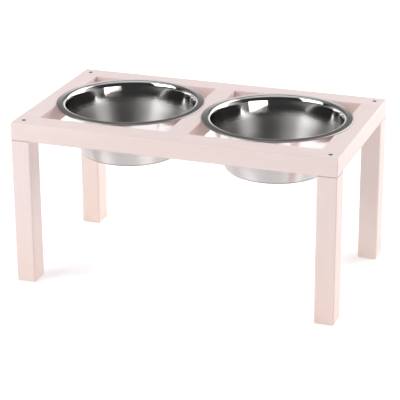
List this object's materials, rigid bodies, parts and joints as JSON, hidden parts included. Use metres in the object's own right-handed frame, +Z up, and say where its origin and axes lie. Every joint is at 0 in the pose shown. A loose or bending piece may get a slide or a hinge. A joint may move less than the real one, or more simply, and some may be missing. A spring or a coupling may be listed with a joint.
{
  "type": "dog bowl stand",
  "caption": "Raised wooden stand on straight legs whose open top frame carries round steel bowls by their rims; each bowl lifts straight out.",
  "frame": {"origin": "on the floor under the middle of the stand", "axes": "+Z up, +X along the stand to the viewer's right, +Y from the front to the back"},
  "size_m": [0.53, 0.304, 0.2722],
  "materials": {
    "whitewashed_wood": "pale pinkish whitewash, matt, faint grain",
    "beech_dowel": "plain beech",
    "black_bolt": "blackened steel",
    "brass_insert": "plain brass",
    "steel_bowl": "brushed outside, satin rim, polished inside"
  },
  "bodies": {
    "stand": {"back_left_leg": "whitewashed_wood", "back_left_leg_bolt": "black_bolt", "back_left_leg_dowel": "beech_dowel", "back_left_leg_insert": "brass_insert", "back_rail": "whitewashed_wood", "back_right_leg": "whitewashed_wood", "back_right_leg_bolt": "black_bolt", "back_right_leg_dowel": "beech_dowel", "back_right_leg_insert": "brass_insert", "centre_rail": "whitewashed_wood", "centre_rail_back_dowel_1": "beech_dowel", "centre_rail_back_dowel_2": "beech_dowel", "centre_rail_front_dowel_1": "beech_dowel", "centre_rail_front_dowel_2": "beech_dowel", "front_left_leg": "whitewashed_wood", "front_left_leg_bolt": "black_bolt", "front_left_leg_dowel": "beech_dowel", "front_left_leg_insert": "brass_insert", "front_rail": "whitewashed_wood", "front_right_leg": "whitewashed_wood", "front_right_leg_bolt": "black_bolt", "front_right_leg_dowel": "beech_dowel", "front_right_leg_insert": "brass_insert", "left_rail_back_dowel_1": "beech_dowel", "left_rail_back_dowel_2": "beech_dowel", "left_rail_front_dowel_1": "beech_dowel", "left_rail_front_dowel_2": "beech_dowel", "left_side_rail": "whitewashed_wood", "right_rail_back_dowel_1": "beech_dowel", "right_rail_back_dowel_2": "beech_dowel", "right_rail_front_dowel_1": "beech_dowel", "right_rail_front_dowel_2": "beech_dowel", "right_side_rail": "whitewashed_wood"},
    "left_bowl": {"left_bowl": "steel_bowl"},
    "right_bowl": {"right_bowl": "steel_bowl"}
  },
  "joints": [
    {"name": "left_bowl_lift", "type": "slide", "parent": "stand", "child": "left_bowl", "axis": [0, 0, 1], "range_m": [0, 0.1]},
    {"name": "right_bowl_lift", "type": "slide", "parent": "stand", "child": "right_bowl", "axis": [0, 0, 1], "range_m": [0, 0.1]}
  ]
}
